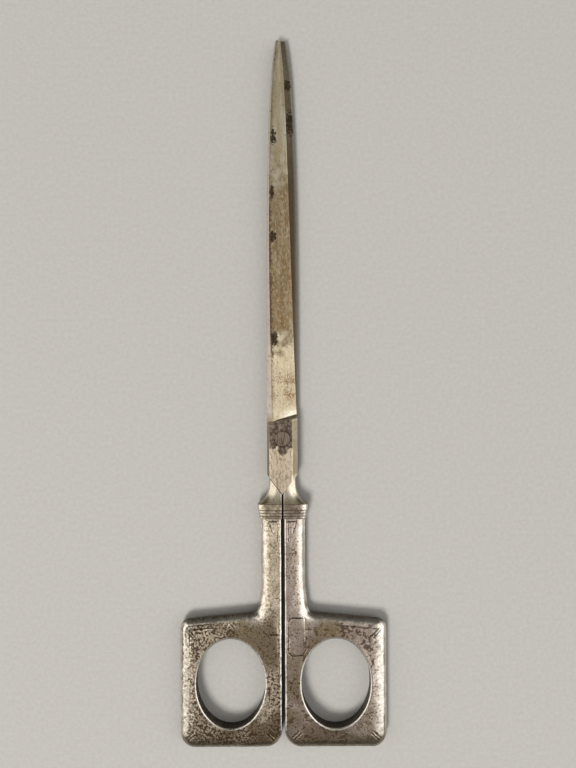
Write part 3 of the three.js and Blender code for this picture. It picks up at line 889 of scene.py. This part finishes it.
def steel_masks(place, spots):
    """What the finish of the steel needs to know of a place on it. Each mask runs from 0 to 1."""
    plunge = RICASSO + PLUNGE_SLANT * (place.x + LAP_HALF)
    if place.y > plunge + 0.01:
        ridge_x = blade_corners(min((place.y - RICASSO) / BLADE_LENGTH, 1))[2][0]
        bevel = 1 - smooth(place.x, ridge_x - 0.12, ridge_x)
        # Grime beside the ridge, kept in the mask that holds painted shade on the silver.
        by_ridge = (1 - bevel) * (1 - smooth(place.x, ridge_x + 0.1, ridge_x + 1.4))
        flat = 0
        from_ramp = place.y - plunge - PLUNGE_RISE - PLUNGE_RAMP * (place.x + LAP_HALF)
        # The lip: a painted highlight on the face just above the ramp of the plunge.
        lip = smooth(from_ramp, -0.1, 0) * (1 - smooth(from_ramp, 0.3, 3)) * smooth(place.x, -1.5, 3)
    else:
        flat = smooth(place.z, LAP_FACE - 0.12, LAP_FACE - 0.02) if place.y > APEX - 0.1 else 0
        by_ridge = 0
        lip = 0
        bevel = 1 - flat if place.y > -SHOULDER_DROP else 0
    inner = 1 - smooth(place.z, INNER_FACE, INNER_FACE + EDGE_LAND)
    if place.y < -SHOULDER_DROP:
        beside_slit = 1 - smooth(place.x, COLLAR_SLIT / 2, COLLAR_SLIT / 2 + ARRIS)
        inner = beside_slit * (1 - smooth(place.z, LAP_FACE - 0.3, LAP_FACE - 0.1))
    rust = rust_at(place, spots)
    return {"rust": rust, "flat": flat, "bevel": bevel, "painted_shade_and_grime": by_ridge, "inner": inner, "lip": lip}


def forging(name, spots):
    """Blade, lap, bolster and tang as one forging, with masks for its finish."""
    made = loft(name, lap_rings() + ground_rings())
    weld(made)
    carve(made, bolster(), "UNION")
    carve(made, tang(0), "UNION")
    carve(made, rivet_seat(), "DIFFERENCE")
    store_masks(made, [steel_masks(vert.co, spots) for vert in made.data.vertices])
    return made


class Tree:
    """A node tree. Each call adds a node and gives its output, which other calls take as input."""

    def __init__(self, tree):
        self.tree = tree

    def node(self, kind, inputs=None, **settings):
        made = self.tree.nodes.new(kind)
        for key, value in settings.items():
            setattr(made, key, value)
        for key, value in (inputs or {}).items():
            self.feed(made.inputs[key], value)
        return made

    def feed(self, socket, value):
        if isinstance(value, bpy.types.NodeSocket):
            self.tree.links.new(value, socket)
        else:
            socket.default_value = value

    def ramp(self, value, low, high, start=0.0, end=1.0):
        """Runs smoothly from start to end as the value goes from low to high."""
        inputs = {"Value": value, "From Min": low, "From Max": high, "To Min": start, "To Max": end}
        return self.node("ShaderNodeMapRange", inputs, interpolation_type="SMOOTHSTEP").outputs["Result"]

    def math(self, operation, value, *others):
        """Joins values with an operation, one after the other."""
        for other in others:
            value = self.node("ShaderNodeMath", {0: value, 1: other}, operation=operation).outputs[0]
        return value

    times = partialmethod(math, "MULTIPLY")
    plus = partialmethod(math, "ADD")
    minus = partialmethod(math, "SUBTRACT")
    most = partialmethod(math, "MAXIMUM")
    least = partialmethod(math, "MINIMUM")

    def absolute(self, value):
        return self.math("ABSOLUTE", value, 0.0)

    def blend(self, factor, a, b):
        """Colour a where the factor is 0, b where it is 1."""
        return self.node("ShaderNodeMix", {0: factor, 6: a, 7: b}, data_type="RGBA").outputs[2]


class Paint(Tree):
    """A procedural material on the piece's own coordinates: a base colour with coats over it."""

    def __init__(self, name, colour, metallic=0.0):
        self.colour = colour
        self.material = bpy.data.materials.new(name)
        self.material.use_nodes = True
        super().__init__(self.material.node_tree)
        self.shader = self.tree.nodes["Principled BSDF"]
        self.shader.inputs["Metallic"].default_value = metallic
        self.place = self.node("ShaderNodeTexCoord").outputs["Object"]

    def cloud(self, size, detail=3.0, stretch=1.0):
        """Noise from 0 to 1, with features of a size in millimetres, drawn out along the scissors."""
        scale = [1 / (size * MM), 1 / (size * stretch * MM), 1 / (size * MM)]
        where = self.node("ShaderNodeMapping", {"Vector": self.place, "Scale": scale}).outputs[0]
        return self.node("ShaderNodeTexNoise", {"Vector": where, "Scale": 1.0, "Detail": detail}).outputs[0]

    def axis(self, name):
        """Distance from the pivot along an axis, in millimetres."""
        part = self.node("ShaderNodeSeparateXYZ", {0: self.place}).outputs[name]
        moved = self.minus(part, PIVOT["XYZ".index(name)])
        return self.math("DIVIDE", moved, MM)

    def zone(self, value, low, high, fade):
        """1 between two values, fading out beyond them."""
        rise = self.ramp(value, low - fade, low)
        fall = self.ramp(value, high, high + fade, 1.0, 0.0)
        return self.times(rise, fall)

    def stored(self, name):
        return self.node("ShaderNodeAttribute", attribute_name=name).outputs["Fac"]

    def coat(self, factor, colour):
        """Lays a colour over what is there, where the factor is above 0."""
        self.colour = self.blend(factor, self.colour, colour)

    def finish(self, roughness, height, depth):
        """Feeds the shader. The height's relief has a depth in millimetres."""
        self.feed(self.shader.inputs["Base Color"], self.colour)
        self.feed(self.shader.inputs["Roughness"], roughness)
        bump = self.node("ShaderNodeBump", {"Height": height, "Strength": 1.0, "Distance": depth * MM})
        self.feed(self.shader.inputs["Normal"], bump.outputs[0])
        return self.material


def silver(name, clean, toned, mottled, pitted, fleck, bare):
    """Hammered silver: toned in patches, rubbed bright on the edges, partly as a painted highlight, flecked
    and pitted with dark tarnish, and near-black in painted shade beside the slits, inside the finger bands
    and on the lower and end walls.
    """
    paint = Paint(name, clean, metallic=1.0)
    across = paint.axis("X")
    along_y = paint.axis("Y")
    from_slit = paint.absolute(across)
    patches = paint.times(paint.ramp(paint.cloud(8, 4), 0.34, 0.6), paint.ramp(from_slit, 16, 28, 1.0, 0.45))
    mellow = paint.times(paint.zone(across, *MELLOW_X), paint.zone(along_y, *MELLOW_Y))
    patches = paint.most(patches, mellow)
    by_slit = paint.times(paint.zone(across, *PALE_X), PALE_DROP)
    on_bow = paint.ramp(paint.plus(along_y, by_slit), BOW_TOP - 6, BOW_TOP + 8, 1.0, 0.25)
    tones = paint.blend(paint.ramp(paint.cloud(5, 3), 0.4, 0.6), toned, SILVER_OLIVE)
    paint.coat(paint.times(patches, on_bow), tones)
    uneven = paint.ramp(paint.cloud(1.3, 4), 0.35, 0.55, 1 - 0.8 * mottled, 1.0)
    # Edges rubbed bright: wear, and partly a painted highlight on the edges that turn towards the side light.
    rubbed = paint.times(paint.stored("edge"), uneven, paint.ramp(along_y, BOW_TOP, BOW_TOP + 8, 1.0, 0.8))
    paint.coat(rubbed, SILVER_BRIGHT)
    foot = paint.ramp(along_y, BOW_LOW, BOW_LOW + 9, 0.7, 0.0)
    paint.coat(foot, SILVER_FOOT)
    region = paint.times(paint.ramp(paint.cloud(9, 2), 0.22, 0.42), on_bow)
    fine = paint.times(paint.ramp(paint.cloud(0.5, 3), 0.45, 0.6), mottled)
    fine = paint.times(fine, paint.times(on_bow, paint.ramp(rubbed, 0, 1, 1.0, 0.25)))
    marks = paint.times(paint.stored("hollow"), paint.ramp(paint.cloud(3, 3), 0.35, 0.6, 0.0, 0.4))
    tarnish = paint.least(paint.plus(fine, marks), 0.8)
    paint.coat(tarnish, SILVER_DIRT)
    on_collar = paint.ramp(along_y, SHELL_TOP - 0.1, SHELL_TOP + 0.4)
    dirty = paint.times(on_collar, paint.ramp(paint.cloud(1.8, 4), 0.35, 0.6, 0.1, 0.7))
    dirty = paint.times(dirty, paint.ramp(from_slit, 5, 7, 1.0, 0.2))
    paint.coat(dirty, SILVER_DIRT)
    crowded = paint.times(paint.zone(across, *CROWDED_X), paint.zone(along_y, *CROWDED_Y))
    crowded = paint.minus(paint.most(crowded, foot), mellow)
    flecks = paint.plus(paint.cloud(fleck, 5), paint.times(crowded, 0.07))
    worm = paint.times(paint.ramp(flecks, bare, bare + 0.04), region)
    specks = paint.plus(paint.cloud(0.6, 3), paint.ramp(paint.cloud(5, 3), 0.45, 0.65, 0.0, 0.07))
    pits = paint.most(paint.times(worm, pitted), paint.ramp(specks, 0.58, 0.65, 0.0, 0.75))
    pits = paint.times(pits, paint.ramp(rubbed, 0, 1, 1.0, 0.2))
    paint.coat(pits, SILVER_PIT)
    worn_line = paint.times(paint.stored("line"), paint.ramp(paint.cloud(2.5, 2), 0.3, 0.45, 0.45, 1.0))
    # The chased lines are dark with tarnish; the rest of this near-black is painted shade.
    black = paint.most(worn_line, paint.stored("painted_shade_and_grime"))
    paint.coat(paint.times(black, 0.92), SILVER_BLACK)
    dull = paint.most(tarnish, pits, black)
    roughness = paint.minus(paint.ramp(dull, 0, 1, 0.27, 0.5), paint.times(rubbed, 0.1))
    relief = paint.minus(paint.cloud(0.7, 3), pits)
    relief = paint.times(relief, paint.ramp(rubbed, 0, 1, 1.0, 0.3))
    return paint.finish(roughness, relief, depth=0.045)


def steel(name):
    """Old blade steel: brushed lengthwise, browned halfway, bright by the plunge with a painted highlight on
    its lip, stained at the rivet.
    """
    paint = Paint(name, STEEL_GREY, metallic=1.0)
    across = paint.axis("X")
    along_y = paint.axis("Y")
    brushed = paint.cloud(0.35, 2, stretch=60)
    grain = paint.cloud(0.6, 4, stretch=3)
    paint.coat(paint.ramp(paint.cloud(2.2, 5, stretch=5), 0.35, 0.65), STEEL_OLIVE)
    patchy = paint.plus(paint.ramp(paint.cloud(2.4, 5, stretch=4), 0.3, 0.7), paint.ramp(grain, 0.4, 0.65))
    strayed = paint.plus(along_y, paint.ramp(paint.cloud(3.5, 5), 0.3, 0.7, -5.0, 5.0))
    browned = paint.times(paint.zone(strayed, *BROWNED_Y), paint.ramp(patchy, 0.2, 1.6, 0.58, 1.0))
    paint.coat(browned, STEEL_BROWN)
    paint.coat(paint.ramp(along_y, *DULL_TIP, 0.0, 0.65), STEEL_DULL)
    bright = paint.times(paint.zone(strayed, *BRIGHT_Y), paint.ramp(grain, 0.3, 0.6, 1.0, 0.7))
    paint.coat(bright, STEEL_CREAM)
    drift = paint.times(paint.ramp(along_y, *DRIFT_RISE), paint.ramp(along_y, *DRIFT_FALL, 1.0, 0.0))
    drift = paint.times(drift, paint.ramp(across, -4, 2, 0.75, 1.0))
    drift = paint.times(drift, paint.ramp(paint.cloud(3.5, 4), 0.35, 0.6, 0.4, 1.0))
    speckled = paint.ramp(paint.plus(paint.cloud(0.42, 2), paint.times(drift, 0.2)), 0.6, 0.72)
    rusted = paint.times(drift, paint.ramp(speckled, 0, 1, 0.2, 0.9))
    paint.coat(rusted, RUST_LIGHT)
    peppered = paint.times(drift, paint.ramp(paint.cloud(0.34, 2), 0.54, 0.64))
    paint.coat(peppered, STEEL_SHADE)
    flecks = paint.times(browned, paint.ramp(paint.cloud(0.55, 3, stretch=2), 0.55, 0.7, 0.0, 0.5))
    paint.coat(flecks, STEEL_CREAM)
    rusty = paint.ramp(paint.cloud(0.6, 4, stretch=3), 0.5, 0.66, 0.0, 0.45)
    rusty = paint.times(rusty, paint.zone(along_y, *RUSTY_Y))
    paint.coat(rusty, RUST_LIGHT)
    by_ridge = paint.stored("painted_shade_and_grime")
    frayed = paint.plus(by_ridge, paint.ramp(paint.cloud(0.8, 5, stretch=1.5), 0.3, 0.7, -0.5, 0.5))
    soiled = paint.times(paint.ramp(frayed, 0.4, 0.85), paint.ramp(by_ridge, 0, 0.2))
    grimy = paint.times(soiled, paint.ramp(paint.zone(along_y, *SOILED_Y), 0, 1, 0.35, 0.85))
    paint.coat(grimy, STEEL_GRIME)
    # Painted highlight on the lip of the plunge.
    paint.coat(paint.times(paint.stored("lip"), 0.7), STEEL_GLINT)
    flat = paint.stored("flat")
    streaks = paint.ramp(paint.cloud(0.5, 3, stretch=3), 0.45, 0.65)
    lap_colour = paint.blend(paint.times(streaks, 0.7), STEEL_ROSE, LAP_STREAK)
    drip = paint.ramp(paint.absolute(across), 0.3, 2.2, -2.2, 0.0)
    ragged = paint.plus(along_y, paint.ramp(paint.cloud(1.6, 4), 0.25, 0.75, -1.6, 1.6))
    stained = paint.ramp(paint.minus(ragged, drip), -3.2, -2.0)
    stain_colour = paint.blend(paint.ramp(paint.cloud(1.1, 4), 0.4, 0.68), STAIN, STAIN_PALE)
    lap_colour = paint.blend(paint.times(stained, 0.95), lap_colour, stain_colour)
    squared = paint.plus(paint.times(across, across), paint.times(along_y, along_y))
    ring = paint.zone(squared, RIVET_RADIUS ** 2, (RIVET_RADIUS + 0.25) ** 2, 1.5)
    ring = paint.times(ring, paint.ramp(paint.cloud(0.8, 3), 0.35, 0.6, 0.1, 0.7))
    lap_colour = paint.blend(ring, lap_colour, RUST_DARK)
    paint.coat(flat, lap_colour)
    bevel_colour = paint.blend(paint.ramp(along_y, RICASSO, RICASSO + 4), STEEL_DULL, STEEL_RIDGE)
    paint.coat(paint.times(paint.stored("bevel"), 0.8), bevel_colour)
    polished = paint.zone(along_y, -SHOULDER_DROP - 6, -SHOULDER_DROP - 3, 3)
    on_bolster = paint.times(polished, paint.ramp(flat, 0, 1, 0.85, 0.0))
    paint.coat(on_bolster, STEEL_POLISHED)
    shaded = paint.times(paint.stored("inner"), paint.ramp(along_y, 80, 112, 0.9, 0.55))
    paint.coat(shaded, STEEL_SHADE)
    spot_edge = paint.plus(paint.stored("rust"), paint.ramp(paint.cloud(0.7, 5), 0.3, 0.7, -0.6, 0.4))
    spots = paint.ramp(spot_edge, 0.22, 0.6, 0.0, 0.95)
    spot_colour = paint.blend(paint.ramp(paint.cloud(0.5, 3), 0.48, 0.7, 0.0, 0.5), RUST_DARK, STEEL_BROWN)
    paint.coat(spots, spot_colour)
    dull = paint.times(stained, flat)
    satin = paint.ramp(brushed, 0.3, 0.7, 0.28, 0.42)
    rough = paint.minus(satin, paint.times(on_bolster, 0.16))
    rough = paint.plus(rough, paint.times(paint.most(spots, dull), 0.25))
    pits = paint.plus(spots, paint.times(flat, streaks, 0.15))
    relief = paint.minus(paint.times(brushed, 0.3), pits)
    return paint.finish(rough, relief, depth=0.02)


def rivet_steel(name):
    """Dark rivet steel with a rubbed, pitted head."""
    paint = Paint(name, STAIN, metallic=1.0)
    rubbed = paint.ramp(paint.cloud(0.35, 3, stretch=7), 0.25, 0.65)
    paint.coat(rubbed, RIVET_RUBBED)
    return paint.finish(paint.ramp(rubbed, 0, 1, 0.55, 0.4), rubbed, depth=0.02)


def cement(name):
    """Dark pitch cement inside the handles."""
    paint = Paint(name, CEMENT_DARK)
    grain = paint.cloud(1.5, 5)
    paint.coat(grain, CEMENT_PALE)
    return paint.finish(paint.ramp(grain, 0, 1, 0.75, 0.95), grain, depth=0.1)


def paint_floor():
    """A plain pale floor under the scissors."""
    bpy.ops.mesh.primitive_plane_add(size=FLOOR_SIZE, location=(0, 0, -FIT * MM))
    floor = bpy.context.object
    floor.name = "floor"
    paint = Paint("floor", FLOOR_DARK)
    nap = paint.cloud(1.2, 3)
    paint.coat(nap, FLOOR_PALE)
    floor.data.materials.append(paint.finish(roughness=0.95, height=nap, depth=0.05))


def light_room():
    """Soft room light: bright on both sides, dimmer overhead and dark beyond both ends of the scissors."""
    world = bpy.data.worlds.new("room")
    world.use_nodes = True
    bpy.context.scene.world = world
    tree = Tree(world.node_tree)
    way = tree.node("ShaderNodeTexCoord").outputs["Generated"]
    parts = tree.node("ShaderNodeSeparateXYZ", {0: way}).outputs
    windows = tree.blend(tree.ramp(parts["X"], -0.5, 0.5), ROOM_LEFT, ROOM_RIGHT)
    sides = tree.blend(tree.ramp(parts["Z"], -0.05, 0.15), ROOM_SKIRTING, windows)
    sideways = tree.ramp(tree.absolute(parts["X"]), 0.06, 0.4)
    colour = tree.blend(sideways, ROOM_OVERHEAD, sides)
    ends = tree.blend(tree.ramp(parts["Y"], -0.2, 0.2), ROOM_NEAR, ROOM_FAR)
    lengthwise = tree.ramp(tree.absolute(parts["Y"]), 0.25, 0.7)
    colour = tree.blend(lengthwise, colour, ends)
    tree.feed(world.node_tree.nodes["Background"].inputs["Color"], colour)


def hang_lamp():
    """A soft light that faces the middle of the scissors and isn't mirrored in the metal."""
    lamp = bpy.data.lights.new("lamp", "AREA")
    lamp.size = LAMP_SIZE
    lamp.energy = LAMP_POWER
    lamp.color = LAMP_COLOUR
    made = new_object("lamp", lamp)
    made.location = LAMP_PLACE
    made.rotation_euler = (-LAMP_PLACE).to_track_quat("-Z", "Y").to_euler()
    made.visible_glossy = False


def place_camera():
    """Straight down, as in the photograph, with the scissors a little left of the middle."""
    data = bpy.data.cameras.new("camera")
    data.sensor_width = 36
    data.lens = data.sensor_width * CAMERA_HEIGHT / VIEW_LENGTH
    made = new_object("camera", data)
    made.location = (CAMERA_X, CAMERA_Y, (BOW_HALF * 2 + CAMERA_HEIGHT) * MM)
    made.rotation_euler = (0, 0, CAMERA_ROLL)
    bpy.context.scene.camera = made


def build_half(half, body, hand, blade, shells, lines, spots, peen, seed):
    """All the pieces of one half. The shells are named by the face they show as the scissors lie."""
    settle(forging(f"{blade}_forging", spots), half, body, blade, PAINTS["steel"], sharp=28)
    silver_paint = PAINTS[hand]
    node = f"{hand}_ferrule"
    settle(ferrule(f"{node}_collar"), half, body, node, silver_paint)
    for face, side in shells:
        node = f"{hand}_{face}_shell"
        face_lines = lines if face == "front" else PLAIN_LINES
        shell = handle_shell(f"{node}_skin", side, face_lines, seed + Vector((0, 0, side)), peen)
        settle(shell, half, body, node, silver_paint)
    node = f"{hand}_finger_band"
    settle(finger_band(f"{node}_lining", seed), half, body, node, silver_paint)
    filler = frame["nodes"][f"{hand}_filler"]
    filler.data.materials.clear()
    filler.data.materials.append(PAINTS["cement"])


PAINTS = {
    "steel": steel("worn_steel"),
    "rivet": rivet_steel("rivet_steel"),
    "right": silver("toned_silver", SILVER_CLEAN, SILVER_MAUVE,
                    mottled=0.28, pitted=0.85, fleck=1.2, bare=0.56),
    "left": silver("specked_silver", SILVER_PALE, SILVER_WARM,
                   mottled=0.6, pitted=0.95, fleck=0.75, bare=0.5),
    "cement": cement("pitch_cement"),
}
PLAIN_LINES = corner_lines() + pendant_lines()
RIGHT_BORDER = [border_line(inset=2.9, least_x=17, least_y=-61.5)]
LEFT_BORDER = [border_line(inset, least_x=23, least_y=-67) for inset in (2.1, 3.2)]

build_half(FRONT, "front_half", "right", "front_blade", (("front", 1), ("back", -1)),
           RIGHT_BORDER + PLAIN_LINES + cartouche_lines(), FRONT_RUST, RIGHT_PEEN, Vector((3, 7, 1)))
build_half(BACK, "back_half", "left", "back_blade", (("back", 1), ("front", -1)),
           LEFT_BORDER + PLAIN_LINES + worn_panel_lines(), BACK_RUST, LEFT_PEEN, Vector((8, 2, 5)))
settle(rivet("pivot_rivet_heads"), FRONT, "front_half", "pivot_rivet", PAINTS["rivet"])

paint_floor()
light_room()
hang_lamp()
place_camera()
bpy.context.scene.view_settings.view_transform = "Standard"
